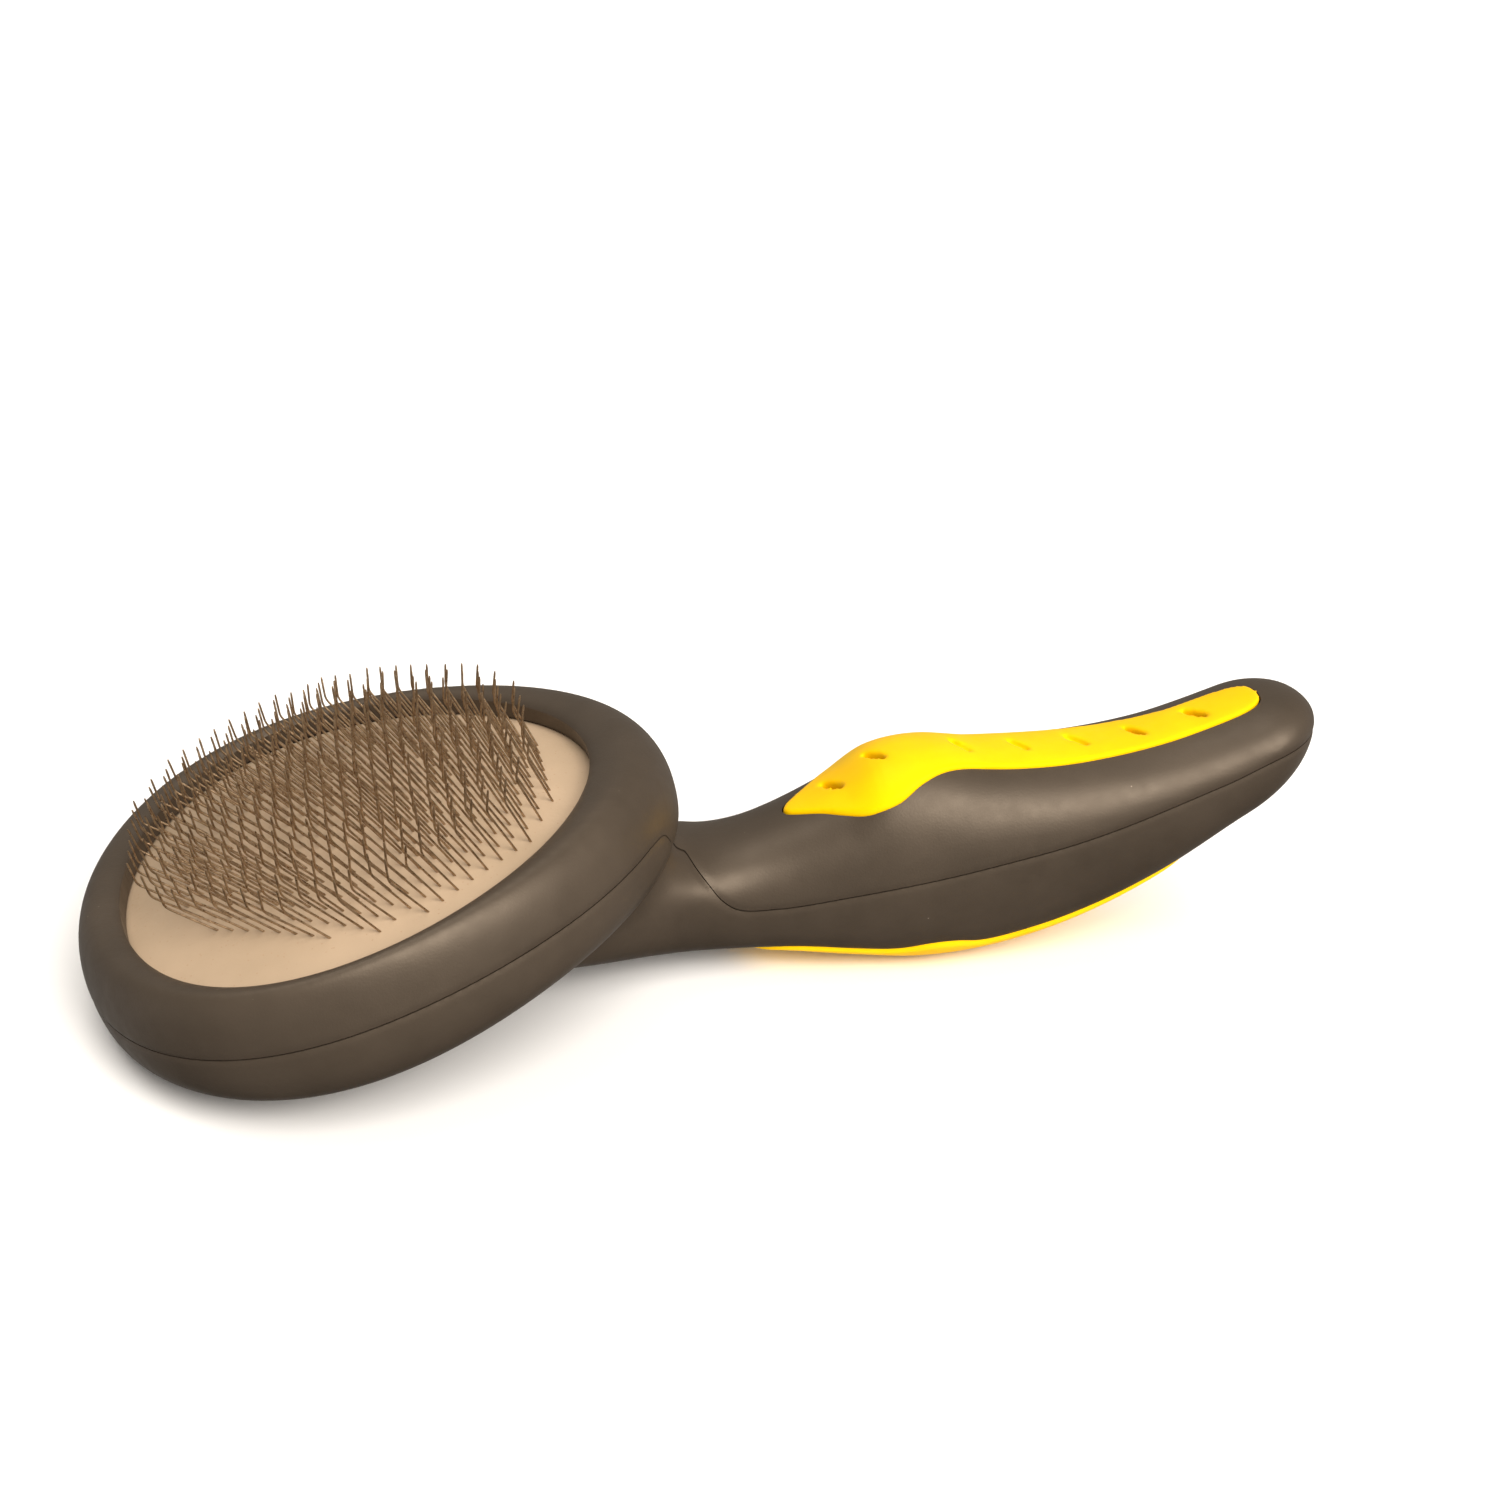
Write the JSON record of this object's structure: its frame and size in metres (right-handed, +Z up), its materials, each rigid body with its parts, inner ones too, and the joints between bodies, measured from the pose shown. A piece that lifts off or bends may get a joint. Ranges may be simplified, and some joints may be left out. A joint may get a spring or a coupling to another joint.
{
  "type": "slicker brush",
  "caption": "Curved-handled pet slicker brush lying on its back: two-part plastic body, rubber grips, oval domed pad and rows of bent steel wires.",
  "frame": {"origin": "middle of the brush's length, on the plane midway between its sides, on the surface it lies on", "axes": "+X from the head towards the handle's end, +Y across the brush, +Z up, with the wires pointing up"},
  "size_m": [0.199, 0.091, 0.047],
  "materials": {
    "shell": "satin soft-touch, dark warm grey",
    "grip": "satin",
    "pad_sheet": "matte, fine speckle",
    "cushion": "open-cell foam, unseen",
    "plate": "plain moulded, unseen",
    "wire": "drawn wire"
  },
  "bodies": {
    "root": {"front_shell": "shell", "back_shell": "shell", "finger_grip": "grip", "thumb_grip": "grip", "pin_pad": "pad_sheet", "pad_cushion": "cushion", "backing_plate": "plate", "pin_row_01": "wire", "pin_row_02": "wire", "pin_row_03": "wire", "pin_row_04": "wire", "pin_row_05": "wire", "pin_row_06": "wire", "pin_row_07": "wire", "pin_row_08": "wire", "pin_row_09": "wire", "pin_row_10": "wire", "pin_row_11": "wire", "pin_row_12": "wire", "pin_row_13": "wire", "pin_row_14": "wire", "pin_row_15": "wire", "pin_row_16": "wire", "pin_row_17": "wire", "pin_row_18": "wire", "pin_row_19": "wire", "pin_row_20": "wire", "pin_row_21": "wire", "pin_row_22": "wire", "pin_row_23": "wire", "pin_row_24": "wire", "pin_row_25": "wire"}
  },
  "joints": []
}
